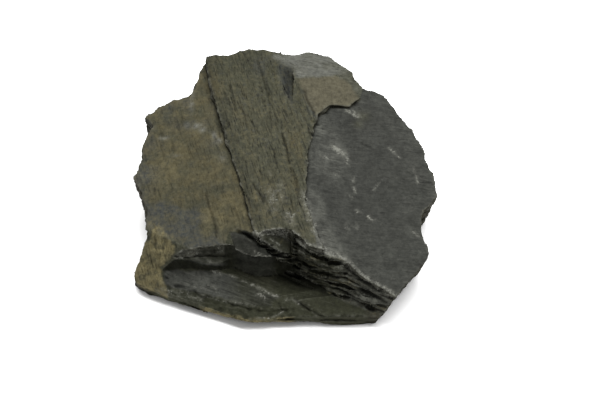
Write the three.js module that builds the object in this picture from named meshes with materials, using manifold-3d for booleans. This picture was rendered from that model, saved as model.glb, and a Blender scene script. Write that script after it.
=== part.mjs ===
// A hand specimen of oil shale: one broken slab of thinly bedded dark rock.
//
// The slab lies on a flat cleavage face. Its beds dip a few degrees to the right and to the front.
// The broken edge of every bed is ragged and a little different from the next one's.
// The top is what is left between the breaks, each a surface that the rock above it is cut away from:
//   the rib: a long raised strip of bedding that runs from front to back;
//   the bench: the bedding on the left of the rib, a bed lower, with a thin crack between the two;
//   the shell break: a wide shallow scoop over the right third;
//   the front hollow: a steep wall below the bench, with a sloping floor that ends in a thin rim;
//   the scarp: the bedded wall that ends the rib, with a flat floor in front of it;
//   the corner face, an old joint at the front left, and the back face, at the back right;
//   the end face, which leans out over the ground at the front right.
//
// Millimetres, +Z up. The origin is at the middle of the slab's box, on the face it rests on.

import * as THREE from 'three';
import { mergeVertices } from 'three/addons/utils/BufferGeometryUtils.js';
import Module from 'manifold-3d';

const wasm = await Module();
wasm.setup();

// ---- Driving dimensions ------------------------------------------------------------------------

const BED_THICKNESS = 2.6;      // one bed of the stack
const BED_DIP_X = -0.055;       // rise of a bed per millimetre to the right
const BED_DIP_Y = 0.045;        // and per millimetre to the back
const EDGE_STEP = 3.4;          // spacing of the points along a bed's broken edge
const EDGE_RAGGED = 0.75;       // how far a bed's edge wanders from the outline
const UNDERCUT = 5.5;           // how far the lowest bed stands back below the back and the sides
const RIM_LIFT = 2.2;           // height of the front rim's underside over the ground
const LAMINA = 1.9;             // one layer of the scarp
const LAMINA_RAGGED = 0.75;     // how far its layers stand in front of or behind one another
const SCARP_UNDERCUT = 2.4;     // how far the scarp's foot is hollowed out
const GRID = 3.4;               // spacing of the points of a broken surface
const AIR_TOP = 60;             // top of every solid that is cut away
const FAR = 75;                 // a distance that lies outside the slab

// The slab's outline from above, from the spur at the back left, clockwise.
const OUTLINE = [
  [-51.2, 25.8], [-45.6, 29.8], [-40.2, 32.4], [-34.9, 33.6], [-33.8, 35.6], [-33.0, 38.0],
  [-31.4, 43.2], [-29.9, 48.2], [-27.4, 49.6], [-21.6, 49.6], [-17.6, 52.4], [-10.6, 53.4],
  [-3.8, 53.6], [1.3, 55.6], [7.3, 57.2], [14.6, 55.0], [18.4, 50.4], [22.4, 45.6],
  [22.6, 40.8], [25.2, 36.6], [33.2, 35.0], [37.8, 27.8], [42.6, 21.0], [46.0, 12.6],
  [48.0, 4.4], [49.8, -1.2], [50.0, -7.4], [47.4, -11.4], [44.6, -14.2], [43.9, -18.2],
  [44.2, -24.5], [45.6, -30.8], [45.2, -34.6], [42.6, -40.0], [39.8, -44.6], [38.0, -47.0],
  [34.5, -49.6], [30.8, -50.8], [24.5, -51.0], [11.2, -51.4], [4.6, -51.6], [-12.0, -51.9],
  [-20.0, -49.4], [-28.8, -46.3], [-40.8, -41.5], [-48.6, -37.2], [-50.2, -35.2], [-49.4, -33.4],
  [-46.2, -27.2], [-46.4, -23.6], [-46.4, -18.6], [-48.6, -13.6], [-50.8, -6.1], [-52.8, -2.2],
  [-51.4, 2.2], [-50.5, 7.6], [-50.7, 11.6], [-49.7, 16.8], [-47.2, 21.2],
];

// The crack between the bench and the rib, from the back to the rib's end.
const CRACK = [
  [-28.5, 52.0], [-28.2, 44.0], [-25.9, 33.3], [-22.4, 18.9], [-18.8, 5.8], [-14.5, -9.5],
  [-11.5, -21.6], [-9.2, -29.8],
];

// The scarp, from the crack round the bite in the rib's end to the slab's right edge:
// each pair is a point of its top edge and the point of its foot below it. The foot climbs to the left.
const SCARP = [
  [[-9.4, -29.6, 20.3], [-9.2, -32.2, 17.8]], [[-8.0, -31.0, 20.3], [-7.8, -32.8, 17.6]],
  [[-5.6, -28.9, 20.4], [-5.6, -33.4, 17.4]], [[-1.4, -28.2, 20.3], [-1.5, -34.9, 14.8]],
  [[2.7, -29.8, 20.3], [3.2, -37.2, 11.0]], [[6.0, -34.4, 20.2], [7.9, -39.4, 8.2]],
  [[12.4, -36.8, 19.2], [14.4, -42.2, 6.2]], [[18.4, -37.4, 17.0], [21.0, -45.4, 5.2]],
  [[24.0, -42.2, 15.0], [24.6, -47.0, 4.9]], [[28.3, -45.0, 13.9], [28.2, -48.4, 4.6]],
  [[33.5, -48.0, 12.7], [33.4, -50.0, 4.2]], [[39.0, -51.2, 11.6], [39.2, -52.4, 4.0]],
];

// The brow of the front hollow, from the corner face to the scarp, and the lip of the ledge below it.
const BROW = [
  [-41.4, -38.6], [-39.7, -35.7], [-37.0, -34.9], [-34.2, -34.4], [-30.9, -34.4], [-27.2, -33.7],
  [-23.5, -33.4], [-18.8, -33.0], [-15.6, -33.6], [-13.1, -34.9], [-9.4, -36.0], [-7.4, -35.6],
];
const LIP = [
  [-41.4, -38.7], [-38.6, -36.3], [-34.6, -35.4], [-31.8, -35.2], [-28.4, -35.2], [-24.4, -36.0],
  [-20.4, -35.4], [-17.6, -34.0], [-15.6, -33.8], [-13.1, -35.1], [-9.4, -36.2], [-7.4, -35.8],
];

// The bite in the rib's end, open to the front.
const BITE = [
  [-8.2, -31.0], [-7.4, -29.4], [-5.6, -28.5], [-1.4, -27.9], [1.8, -28.4], [2.8, -29.6], [3.0, -34.4],
  [-2.0, -34.6], [-6.0, -33.2],
];

// The end of the ledge, a block that runs on under the foot of the scarp.
const LEDGE_END = [
  [-9.4, -31.0], [-5.4, -31.6], [0.4, -34.6], [-0.6, -35.4], [-4.4, -35.3], [-7.4, -35.9], [-9.4, -36.4],
];

// The sharp ridge along the back of the hollow's floor, and the dark trough between it and the wall.
const ARRIS = [
  [-27.0, -36.9], [-20.0, -36.4], [-15.5, -36.3], [-11.0, -38.0], [-5.4, -40.8], [-1.8, -43.2],
];
const TROUGH_BACK = [
  [-24.4, -35.8], [-20.4, -35.2], [-17.6, -33.8], [-15.6, -33.6], [-13.1, -34.9], [-9.6, -36.0],
  [-4.4, -35.4], [-1.8, -34.6], [10.0, -40.5],
];

// The edge of the shell break, from the slab's back right round to the scarp.
const SHELL_EDGE = [
  [30.0, 42.0], [26.4, 35.4], [25.4, 30.0], [21.6, 26.2], [15.0, 26.0], [10.8, 21.4],
  [9.0, 13.2], [7.6, 4.8], [6.9, -6.0], [6.6, -16.6], [8.8, -25.2], [11.0, -31.0], [12.6, -36.6],
];

// ---- Surfaces: the height of each broken surface over the point (x, y) -------------------------

const ribTop = (x, y) => 22.3 + 0.055 * y - 0.02 * x + 0.3 * Math.sin(x * 0.21 + y * 0.03);
const benchTop = (x, y) => {
  const fromCrack = distanceTo(CRACK, x, y);
  return 20.6 + 0.05 * y + 0.045 * (x + 10) - 0.3 * Math.cos(x * 0.13 - y * 0.05)
    - 1.4 * smooth((-x - 36) / 16) + 1.2 * (1 - smooth(fromCrack / 18));
};
const ledgeFace = (x, y) => 19.6 + 0.52 * (y + 28.6) + 0.08 * (x + 17.2) - 0.38 * Math.max(0, x + 9);
const biteFloor = (x, y) => 17.3 - 0.42 * (x + 3) + 0.15 * (y + 33);
const shellFloor = (x, y) => {
  const inward = distanceTo(SHELL_EDGE, x, y);
  const step = 1.3 * smooth((y - 6) / 16);
  const corner = 0.06 * Math.max(0, -y - 20);
  return ribTop(x, y) - 0.2 - 0.1 * inward - 2.2 * (1 - Math.exp(-inward / 7)) - step - corner;
};
const shoulder = (x, y) => 22.4 + 0.05 * y - 0.085 * (x - 3);
const notchFloor = (x, y) =>
  ribTop(x, y) - 0.42 * Math.max(0, x - 2.1 + 0.34 * (y - 24.4)) * (1 - smooth((y - 40.5) / 4));
const backFace = (x, y) => 23.8 - 0.2 * (y - 39.5) - 0.085 * (x - 8) + 0.22 * Math.max(0, 3.5 - x);
const cornerFace = (x, y) => 75.4 + 0.74 * x + 1.0 * y;
const endFace = (x, y) => 2.2 * (x - 36.1) - 1.49 * (y + 38.9);
const apron = (x, y) => {
  const left = Math.max(0, -5 - x);
  const slope = 0.2 + 0.005 * left + 0.00055 * left ** 2;
  const fromRim = y + 37.4 + 15 * limited((x + 47) / 34);
  return 3.6 + slope * fromRim + 1.8 * (1 - smooth((x + 40.5) / 6));
};
const wallLedge = (x, y) => 13.6 - 0.12 * (x + 28) + 0.25 * (y + 35);
const flat = (x, y) => 2.6 + 0.13 * (y + 50) - 0.03 * (x - 10);
const trough = (x, y) => flat(x, y) + 1.0 + 0.16 * Math.max(0, -x - 4);
const frontFloor = (x, y) => Math.max(apron(x, y), flat(x, y));
const packUnder = (x, y) => Math.min(15.8, 4.2 + 9.8 * Math.exp(-(x + 1.5) / 10.5)) + 0.15 * (y + 38);
const underside = (x, y) => RIM_LIFT * smooth((-y - 34) / 13) * (1 - smooth((x + 2) / 26)) - 0.3;

// ---- Small tools -------------------------------------------------------------------------------

function limited(t) {
  return Math.min(1, Math.max(0, t));
}

function smooth(t) {
  const s = limited(t);
  return s * s * (3 - 2 * s);
}

function mix(a, b, t) {
  return a.map((value, i) => value + (b[i] - value) * t);
}

// A repeatable number from 0 to 1 for each pair of whole numbers.
function chance(i, j) {
  const s = Math.sin(i * 127.1 + j * 311.7 + 17.3) * 43758.5453;
  return s - Math.floor(s);
}

// Smooth noise from -1 to 1 along a line, a different one for each row.
function wander(t, row) {
  const i = Math.floor(t);
  const f = smooth(t - i);
  return 2 * (chance(i, row) * (1 - f) + chance(i + 1, row) * f) - 1;
}

// The points of an open line with more between them, no further apart than the step.
function finer(line, step) {
  const inner = line.slice(1).flatMap((end, i) => {
    const start = line[i];
    const n = Math.max(1, Math.round(Math.hypot(end[0] - start[0], end[1] - start[1]) / step));
    return Array.from({ length: n }, (_, k) => mix(start, end, (k + 1) / n));
  });
  return [line[0], ...inner];
}

// Distance from a point to an open line.
function distanceTo(line, x, y) {
  let least = Infinity;
  for (let i = 1; i < line.length; i++) {
    const [ax, ay] = line[i - 1];
    const [dx, dy] = [line[i][0] - ax, line[i][1] - ay];
    const t = Math.min(1, Math.max(0, ((x - ax) * dx + (y - ay) * dy) / (dx * dx + dy * dy)));
    least = Math.min(least, Math.hypot(x - ax - t * dx, y - ay - t * dy));
  }
  return least;
}

// A closed geometry as a manifold solid.
function solid(geometry) {
  geometry.deleteAttribute('normal');
  geometry.deleteAttribute('uv');
  const merged = mergeVertices(geometry, 1e-4);
  return new wasm.Manifold(new wasm.Mesh({
    numProp: 3,
    vertProperties: new Float32Array(merged.attributes.position.array),
    triVerts: new Uint32Array(merged.index.array),
  }));
}

function prism(outline, low, high) {
  const shape = new THREE.Shape(outline.map(([x, y]) => new THREE.Vector2(x, y)));
  const geometry = new THREE.ExtrudeGeometry(shape, { depth: high - low, bevelEnabled: false });
  geometry.translate(0, 0, low);
  return solid(geometry);
}

// The space between the surface height(x, y) and a far level above or below it.
function space(height, far = AIR_TOP) {
  const side = 126;
  const cells = Math.round(side / GRID);
  const geometry = new THREE.BoxGeometry(side, side, 2, cells, cells, 1);
  const at = geometry.attributes.position;
  for (let i = 0; i < at.count; i++) {
    const onSurface = (at.getZ(i) < 0) === (far > 0);
    at.setZ(i, onSurface ? height(at.getX(i), at.getY(i)) : far);
  }
  return solid(geometry);
}

// The same space, over a region only.
function spaceOver(region, height) {
  return space(height).intersect(prism(region, -20, AIR_TOP + 10));
}

function union(solids) {
  return solids.reduce((sum, one) => sum.add(one));
}

// ---- The stack of beds -------------------------------------------------------------------------

// The lower beds stand back under the back and the sides, and hardly at all at the front.
function standBack(x, y, depth) {
  const front = smooth((-y - 18) / 20);
  return UNDERCUT * depth ** 1.4 * (1 - 0.85 * front) * (0.75 + 0.25 * Math.sin(x * 0.09 + 1));
}

function bed(index, top) {
  const low = index * BED_THICKNESS;
  const high = low + BED_THICKNESS + 0.02;
  const depth = Math.min(1, Math.max(0, 1 - high / top));
  const edge = finer([...OUTLINE, OUTLINE[0]], EDGE_STEP).slice(1).map(([x, y], i) => {
    const ragged = EDGE_RAGGED * (1 + wander(i * 0.45, index + 40)) * (0.3 + 0.7 * depth);
    const scale = 1 - (standBack(x, y, depth) + ragged) / Math.hypot(x, y);
    return [x * scale, y * scale];
  });
  return prism(edge, low, high);
}

function stack() {
  const top = 27;
  const first = Math.floor(-8 / BED_THICKNESS);
  const count = Math.ceil(top / BED_THICKNESS) - first;
  const dip = new THREE.Matrix4().makeRotationFromEuler(
    new THREE.Euler(Math.atan(BED_DIP_Y), -Math.atan(BED_DIP_X), 0));
  return union(Array.from({ length: count }, (_, i) => bed(first + i, top))).transform(dip.elements);
}

// ---- The breaks --------------------------------------------------------------------------------

// In front of the scarp every layer is cut back to a line between the foot and the top edge.
function scarpLayer(index) {
  const low = index * LAMINA;
  const middle = low + LAMINA / 2;
  const ragged = LAMINA_RAGGED * wander(index * 1.7, 91);
  const line = SCARP.map(([top, foot]) => mix(foot, top, limited((middle - foot[2]) / (top[2] - foot[2]))));
  const broken = finer(line, EDGE_STEP).map(([x, y], k) => [
    x - 0.3 * ragged, y + ragged * smooth(k / 4) + 0.45 * wander(k * 0.8, 60 + index)]);
  return prism([...broken, [FAR, -FAR], [-9.2, -FAR]], low, low + LAMINA + 0.02);
}

function inFrontOfScarp() {
  const count = Math.ceil(24 / LAMINA);
  const dip = new THREE.Matrix4().makeRotationY(-Math.atan(BED_DIP_X));
  return union(Array.from({ length: count }, (_, i) => scarpLayer(i)))
    .transform(dip.elements)
    .intersect(space(frontFloor));
}

// The hollow under the scarp's foot runs back into the rock, furthest at the left.
function underScarp() {
  const back = SCARP.map(([, [x, y]]) => [x - 0.4, y + SCARP_UNDERCUT]);
  const region = prism([...back, [FAR, -FAR], [-9.2, -FAR]], -20, AIR_TOP);
  return space(packUnder, -30).intersect(region).intersect(space(frontFloor));
}

const benchRegion = [[-FAR, FAR], ...CRACK, [-9.2, -FAR], [-FAR, -FAR]];
const ledgeRegion = [
  [-17.6, -28.4], [-12.6, -28.2], [-9.1, -30.2], [-7.6, -33.2], [-7.0, -45], [-15.4, -45], [-15.6, -33.8],
];
const troughRegion = [...ARRIS, ...TROUGH_BACK.toReversed()];
const notchRegion = [[2.6, FAR], [2.6, 43], [2.1, 24.4], [-15, FAR]];
const shoulderRegion = [
  [2.6, FAR], [2.6, 43], [2.1, 24.8], [4.6, 22.0], [8.6, 14.0], [12, -2], [FAR, 0], [FAR, FAR],
];
const shellRegion = [...SHELL_EDGE, [12.6, -FAR], [FAR, -FAR], [FAR, FAR], [32, FAR]];
// The strips in front of the wall, down to the ledge's lip and down to the hollow's floor.
const wallRegion = [...BROW, [-6.4, -38.0], [-6.0, -FAR], [-41.4, -FAR]];
const hollowRegion = [...LIP, [-6.4, -38.0], [-6.0, -FAR], [-41.4, -FAR]];

function ledgeEnd() {
  return space(ledgeFace, -30).intersect(prism(LEDGE_END, -20, AIR_TOP));
}

function oilShale() {
  return stack()
    .intersect(space(() => 0))
    .subtract(space(underside, -30))
    .subtract(space(ribTop))
    .subtract(spaceOver(benchRegion, benchTop))
    .subtract(spaceOver(ledgeRegion, ledgeFace))
    .subtract(spaceOver(BITE, biteFloor))
    .subtract(spaceOver(notchRegion, notchFloor))
    .subtract(spaceOver(shoulderRegion, shoulder))
    .subtract(spaceOver(shellRegion, shellFloor))
    .subtract(space(backFace))
    .subtract(space(cornerFace))
    .subtract(space(endFace, -30))
    .subtract(spaceOver(wallRegion, (x, y) => Math.max(wallLedge(x, y), frontFloor(x, y))))
    .subtract(spaceOver(hollowRegion, frontFloor))
    .subtract(inFrontOfScarp().add(underScarp()).subtract(ledgeEnd()))
    .subtract(spaceOver(troughRegion, trough).intersect(space(packUnder, -30)));
}

// ---- The part ----------------------------------------------------------------------------------

function meshOf(name, manifold, material) {
  const { numProp, numVert, vertProperties, triVerts } = manifold.getMesh();
  const position = new Float32Array(numVert * 3);
  for (let i = 0; i < numVert; i++) {
    position.set(vertProperties.subarray(i * numProp, i * numProp + 3), i * 3);
  }
  const geometry = new THREE.BufferGeometry();
  geometry.setAttribute('position', new THREE.BufferAttribute(position, 3));
  geometry.setIndex(new THREE.BufferAttribute(new Uint32Array(triVerts), 1));
  geometry.computeBoundingBox();
  const middle = geometry.boundingBox.getCenter(new THREE.Vector3());
  geometry.translate(-middle.x, -middle.y, -geometry.boundingBox.min.z);
  geometry.computeVertexNormals();
  const mesh = new THREE.Mesh(geometry, material);
  mesh.name = name;
  return mesh;
}

const shale = new THREE.MeshStandardMaterial({ color: 0x57554a, roughness: 0.85, metalness: 0 });

const group = new THREE.Group();
group.name = 'oil_shale_specimen';
group.add(meshOf('oil_shale_slab', oilShale(), shale));

export default group;
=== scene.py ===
import math

import bmesh
import bpy
import numpy as np
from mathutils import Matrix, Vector


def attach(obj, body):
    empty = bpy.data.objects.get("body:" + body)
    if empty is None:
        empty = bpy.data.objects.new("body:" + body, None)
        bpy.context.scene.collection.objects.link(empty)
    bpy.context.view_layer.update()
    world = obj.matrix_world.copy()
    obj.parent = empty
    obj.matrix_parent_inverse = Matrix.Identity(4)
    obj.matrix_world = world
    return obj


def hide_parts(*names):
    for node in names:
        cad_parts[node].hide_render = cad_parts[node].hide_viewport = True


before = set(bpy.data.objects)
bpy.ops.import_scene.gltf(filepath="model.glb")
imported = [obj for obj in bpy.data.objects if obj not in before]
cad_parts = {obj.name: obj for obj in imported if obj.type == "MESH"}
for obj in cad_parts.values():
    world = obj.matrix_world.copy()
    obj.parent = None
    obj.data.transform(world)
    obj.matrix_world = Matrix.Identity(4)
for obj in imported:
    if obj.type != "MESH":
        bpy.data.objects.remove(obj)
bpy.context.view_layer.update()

bl_info = {
    "name": "Oil Shale Specimen",
    "version": (1, 0, 0),
    "blender": (4, 5, 0),
    "location": "View3D > Sidebar > Oil Shale",
    "description": "Builds a broken, thinly bedded slab of oil shale on a plain stage",
    "category": "Add Mesh",
}

SLAB_NODE = "oil_shale_slab"
MM = 0.001
# Vertices whose share of a move is below this stay where they are.
LEAST_SHARE = 0.004
# What the camera looks at, in the millimetres of the tables below, and the lamp above the back, in metres.
AIM = (6.8, -7.0, 9.0)
KEY_PLACE = (0.08, 0.24, 0.68)
KEY_SIZE = (1.2, 0.4)

# ---- Where the breaks run, in millimetres, +Z up from the resting face ----

# The middle of the slab's box, in the numbers of the tables.
MIDDLE = (-0.2, 2.0)

CRACK = [
    (-28.5, 52), (-28.2, 44), (-25.9, 33.3), (-22.4, 18.9), (-18.8, 5.8), (-14.5, -9.5), (-11.5, -21.6),
    (-9.2, -29.8),
]
SCARP_TOP = [
    (-9.4, -29.6), (-8, -31), (-5.6, -28.9), (-1.4, -28.2), (2.7, -29.8), (6, -34.4), (12.4, -36.8),
    (18.4, -37.4), (24, -42.2), (28.3, -45), (33.5, -48), (39, -51.2),
]
SCARP_FOOT = [
    (-9.2, -32.2), (-7.8, -32.8), (-5.6, -33.4), (-1.5, -34.9), (3.2, -37.2), (7.9, -39.4), (14.4, -42.2),
    (21, -45.4), (24.6, -47), (28.2, -48.4), (33.4, -50), (39.2, -52.4),
]
BROW = [
    (-41.4, -38.6), (-39.7, -35.7), (-37, -34.9), (-34.2, -34.4), (-30.9, -34.4), (-27.2, -33.7),
    (-23.5, -33.4), (-18.8, -33), (-15.6, -33.6), (-13.1, -34.9), (-9.4, -36), (-7.4, -35.6),
]
LIP = [
    (-41.4, -38.7), (-38.6, -36.3), (-34.6, -35.4), (-31.8, -35.2), (-28.4, -35.2), (-24.4, -36),
    (-20.4, -35.4), (-17.6, -34), (-15.6, -33.8),
]
LEDGE = [
    (-17.6, -28.4), (-12.6, -28.2), (-9.1, -30.2), (-5.4, -31.6), (0.4, -34.6), (-0.6, -35.4), (-4.4, -35.3),
    (-7.4, -35.9), (-9.4, -36.2), (-13.1, -35), (-15.6, -33.7),
]
ARRIS = [(-36, -36.6), (-27, -36.9), (-20, -36.4), (-15.5, -36.3), (-11, -38), (-5.4, -40.8), (-1.8, -43.2)]
SHELL_EDGE = [
    (30, 42), (26.4, 35.4), (25.4, 30), (21.6, 26.2), (15, 26), (10.8, 21.4), (9, 13.2), (7.6, 4.8),
    (6.9, -6), (6.8, -16.6), (8.9, -24), (9.8, -31), (10.2, -36.6),
]
BLOCK = [
    (3.3, 37.2), (9.9, 38.8), (17.1, 40.8), (21.1, 38.2), (24.8, 31.4), (25.8, 28.6), (21.6, 26.2), (15, 26),
    (10.8, 21.4), (8.8, 23.3), (6.4, 28.6), (5.4, 33.4),
]
FACET = [
    (-4.5, 60), (-3.6, 45.6), (2.4, 43.4), (3.3, 38.4), (9.9, 39.4), (17.1, 41), (21.1, 38.2), (24.8, 31.4),
    (26, 28.6), (40, 30), (40, 60),
]
NOTCH = [(2.4, 24), (2.4, 43.6), (-3.4, 44.8), (-2.4, 37), (-0.6, 31)]
TAN_CORNER = [
    (-60, -29), (-44.1, -28.2), (-42.7, -28.4), (-42.4, -24), (-40, -23.8), (-37.1, -29), (-35.1, -32),
    (-34.2, -34), (-37, -34.9), (-39.7, -35.8), (-38.8, -38.2), (-37.2, -41.2), (-38, -48), (-60, -48),
]
# The heights of the scarp's top edge and of its foot, from left to right.
LIP_HEIGHTS = [(-9.4, 20.3), (6, 20.2), (12.4, 19.2), (18.4, 17), (24, 15), (33.5, 12.7), (39, 11.6)]
FOOT_HEIGHTS = [(-9.2, 17.4), (-1.5, 13.6), (3.2, 10), (7.9, 7.4), (14.4, 5.4), (39, 3.8)]
FRONT_RIM = [
    (-48.6, -37.2), (-40.8, -41.5), (-28.8, -46.3), (-20, -49.4), (-12, -52.2), (4.6, -51.8), (24.5, -50.8),
    (32.5, -48),
]
BITE = [
    (-8.2, -31), (-7.4, -29.4), (-5.6, -28.5), (-1.4, -27.9), (1.8, -28.4), (2.8, -29.6), (3, -34.4),
    (-2, -34.6), (-6, -33.2),
]
APRON = [
    (-42.6, -38.8), (-39, -36), (-33.4, -35.8), (-27, -36), (-20, -36.2), (-16.8, -37.1), (-12.6, -39.1),
    (-7.2, -41.5), (-2.1, -43.4), (-4.6, -46.8), (-14, -46.6), (-19.8, -44), (-30.1, -41.7), (-39.8, -39.2),
]
GREY_CORNER = [
    (-60, -11.5), (-38.7, -15.4), (-30, -18.6), (-27.2, -23), (-26.4, -28), (-20, -30.5), (-17, -36),
    (-60, -40),
]
LEFT_BAND = [(8, -10), (12.4, -15), (16.2, -29), (21.4, -38), (10, -40), (4, -20)]
CREASE = [(-2, -43.4), (4, -41), (10, -39.6)]
CORNER_FOOT = [(-40.4, -37.2), (-38.6, -38.6), (-37.2, -41.2)]
STEP = [(3.6, -44.5), (8, -47.6), (12.4, -60), (50, -60), (50, -38)]
BLOCK_BACK = 39.4
NOTCH_RIGHT = 2.4

# How much the beds rise for each step to the right and to the back.
BED_RISE_X = -0.055
BED_RISE_Y = 0.045
# The fine lines of the rib run this far back and aside for each unit of their length.
RIB_ALONG = 0.972
RIB_ASIDE = 0.235
# The corner's plane: its height over the origin, its rise to the right, and the length of its normal.
CORNER_HEIGHT = 75.4
CORNER_SLOPE = 0.74
CORNER_STEEPNESS = 1.6
# The end face beside the scarp: a place on it, its rises to the right and to the back, and the normal's length.
END_FOOT = (36.1, -38.9)
END_SLOPES = (2.2, -1.49)
END_STEEPNESS = 2.84
# The grey bed in the wall below the brow: an x, its height there, and how far it falls to the right.
GREY_BED = (-32.4, 15.2, 0.29)
# The ripples of the shell break: the middle they lie around and the distance between them.
RIPPLE_MIDDLE = (31, -4)
RIPPLE_STEP = 2.9

# Thin open lines in the bedding faces: each is a line, its depth and its half width.
FURROWS = [
    ([(-10, 46), (-8, 38), (-5.6, 26)], 0.4, 0.45), ([(-1.2, 12), (0.2, 6), (1.4, -1)], 0.5, 0.45),
    ([(1.7, -3), (3.6, -8), (4.4, -14)], 0.35, 0.5), ([(-10.4, -9.5), (-8.4, -13), (-6.6, -17)], 0.4, 0.4),
    ([(-25.8, -12), (-24, -19), (-22.2, -25.5), (-21.6, -30)], 0.35, 0.35),
    ([(6.4, 32), (7.1, 28), (8.8, 24.5), (9.6, 21)], 0.45, 0.5), ([(-24, 12), (-22.6, 9.5)], 0.3, 0.4),
    ([(-3.6, 2), (-2.6, -3)], 0.25, 0.35), ([(-14.2, 22), (-13, 15)], 0.22, 0.35),
    ([(-19.5, 34), (-17.4, 25)], 0.2, 0.4), ([(44.6, -2.9), (48.4, -2.7)], 0.22, 0.3),
    ([(25.4, 11.8), (28.2, 10.6)], 0.25, 0.4),
    ([(-14.6, -28.2), (-10.3, -30.5), (-7.1, -32.4), (-3.3, -34), (0.4, -34.9), (4.6, -36.4)], 1.6, 0.55),
    ([(3.4, -44.4), (5.6, -46.2), (8.1, -48), (12.2, -50.6)], 0.55, 0.5),
    ([(3, -31.4), (3.4, -34.4)], 0.6, 0.9), ([(-2, -45.4), (-0.6, -48)], 0.3, 0.3),
    ([(-25, -40.4), (-22.2, -41.8)], 0.25, 0.4),
]

# Pale curved lines of the facet at the back: each is a line and its half width.
FACET_CURVES = [
    ([(-3.3, 48), (0, 48.4), (2.7, 46.7), (4.8, 44.4), (8.9, 41.3), (11, 41)], 1.3),
    ([(2, 51), (8, 49.4), (12.6, 45.6)], 1), ([(-2, 52.4), (4.6, 53)], 0.8),
    ([(6.4, 44.2), (12.2, 42.6), (15.6, 43.4)], 0.7),
]

# White bruises: each is a line, its half width and its strength.
BRUISES = [
    ([(16.6, 8.4), (18.2, 7.6), (19, 6.6)], 1.7, 0.9), ([(12, 3.4), (14.6, 3.6)], 0.9, 0.7),
    ([(20.2, 5), (20.6, 2.6)], 0.8, 0.6), ([(15.4, -2.6), (17.2, -3.2)], 0.8, 0.45),
    ([(22.6, -3), (22.5, -5)], 0.55, 0.8), ([(22.4, -7.2), (22.9, -9.6)], 0.5, 0.9),
    ([(20.6, -10.6), (22, -12)], 0.6, 0.5), ([(31.6, -3.4), (28.8, -7.8)], 0.35, 0.8),
    ([(34.6, 10.4), (36.4, 8.4)], 0.5, 0.8), ([(36.6, 8), (38.2, 6.6)], 0.4, 0.7),
    ([(42.6, 2.6), (43.2, 0.6), (43.8, -3.4)], 0.35, 0.9), ([(23, -16.8), (23.6, -17.6)], 0.6, 0.9),
    ([(26.8, -18.8), (28, -20.4), (29, -19.8)], 0.5, 0.9), ([(19.6, -23.4), (20.4, -25.6)], 0.9, 0.4),
    ([(22.6, -23.4), (23.6, -25)], 0.9, 0.4), ([(41, -24), (43.6, -26)], 0.7, 0.6),
    ([(20.6, 25.2), (22.6, 23.8), (24.4, 22.9)], 0.55, 1), ([(22.8, 25.2), (25.4, 23.2)], 0.5, 0.8),
    ([(-3.6, -12.6), (-2.2, -12.2)], 0.6, 0.6), ([(-3, -15.6), (-2, -17)], 0.6, 0.5),
    ([(1.2, -21.2), (2.2, -23.8), (3.2, -22)], 0.45, 0.8),
    ([(7.6, -21.6), (9, -24.6), (9.4, -29.4)], 1.1, 0.6), ([(-30.4, 17.6), (-27.8, 15.6)], 1, 0.4),
    ([(-25.4, 14.2), (-22, 10.4)], 0.5, 0.5), ([(-6.4, 10), (-5.6, 8)], 0.5, 0.35),
    ([(-5.2, -4), (-4.6, -6)], 0.4, 0.4), ([(-23.8, -35.4), (-22.2, -36), (-20.4, -36.8)], 0.7, 0.8),
    ([(-17.4, -36.9), (-14.8, -37.6)], 0.6, 0.65), ([(-14, -38.2), (-11.2, -39)], 0.45, 0.75),
    ([(-11.2, -39.2), (-7.6, -40.4)], 0.7, 0.75), ([(-7.2, -41), (-2.4, -43.2)], 0.7, 0.75),
    ([(-8.6, -42.4), (-6.4, -43.8)], 0.9, 0.6), ([(-4.4, -12.4), (-3.4, -19.8)], 1.5, 0.52),
    ([(5.8, -13.6), (8, -24.6)], 1.4, 0.56), ([(0.6, -21.6), (2.4, -26)], 1.3, 0.55),
    ([(-1.6, -9), (-0.6, -16)], 1.2, 0.42), ([(-12, -32.8), (-10.4, -33.6)], 0.8, 0.35),
    ([(-9.2, -34.6), (-7.6, -35.2)], 0.6, 0.7), ([(-34.4, -34.9), (-32.4, -34.6)], 0.45, 0.9),
    ([(-4.4, -30.2), (-3.6, -30.6)], 0.5, 0.7), ([(-2.6, -31.2), (-1.4, -31.4)], 0.5, 0.75),
    ([(0.6, -44.4), (2.4, -44), (4.6, -45.6)], 0.7, 0.5),
    ([(-10.8, -50.8), (-4, -50.4), (-0.4, -48.2)], 0.35, 0.7),
    ([(-40.4, -41), (-37, -41.4), (-33.3, -42.2), (-26.6, -43.8)], 1.2, 0.52),
    ([(4, -31), (6.6, -34), (12.6, -36.2), (18.6, -36.8), (24.2, -41.6), (28.6, -44.5), (35, -48.4)], 0.8, 0.7),
    ([(-26, -43), (-18.6, -45.2), (-9.4, -46.4)], 0.5, 0.5), ([(-24.6, -39.8), (-21.6, -41.8)], 0.6, 0.5),
    ([(-31, -39.6), (-24, -41.6)], 0.3, 0.5),
    ([(-8, -30.9), (-4.6, -32.3), (-1.4, -33.5), (2.7, -34.9)], 0.4, 0.62),
    ([(-9, -29.4), (-8.2, -30.2)], 0.5, 0.7), ([(12.6, -40.4), (14.4, -41)], 0.7, 0.5),
    ([(10.6, -31.2), (12.6, -34.6)], 1.2, 0.5), ([(12.8, -34.8), (17.6, -35.6), (20.4, -37.8)], 0.9, 0.55),
    ([(24, -45), (27, -46.6)], 0.5, 0.3),
]


# ---- Small tools ----

def ramp(value, low, high):
    """Goes smoothly from 0 at low to 1 at high."""
    t = np.clip((value - low) / (high - low), 0.0, 1.0)
    return t * t * (3.0 - 2.0 * t)


def most(first, *others):
    """The greatest of the values at each point."""
    for other in others:
        first = np.maximum(first, other)
    return first


def bell(gap, half):
    """1 where the gap is 0, and less the wider it is."""
    return np.exp(-(gap / half) ** 2)


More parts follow.
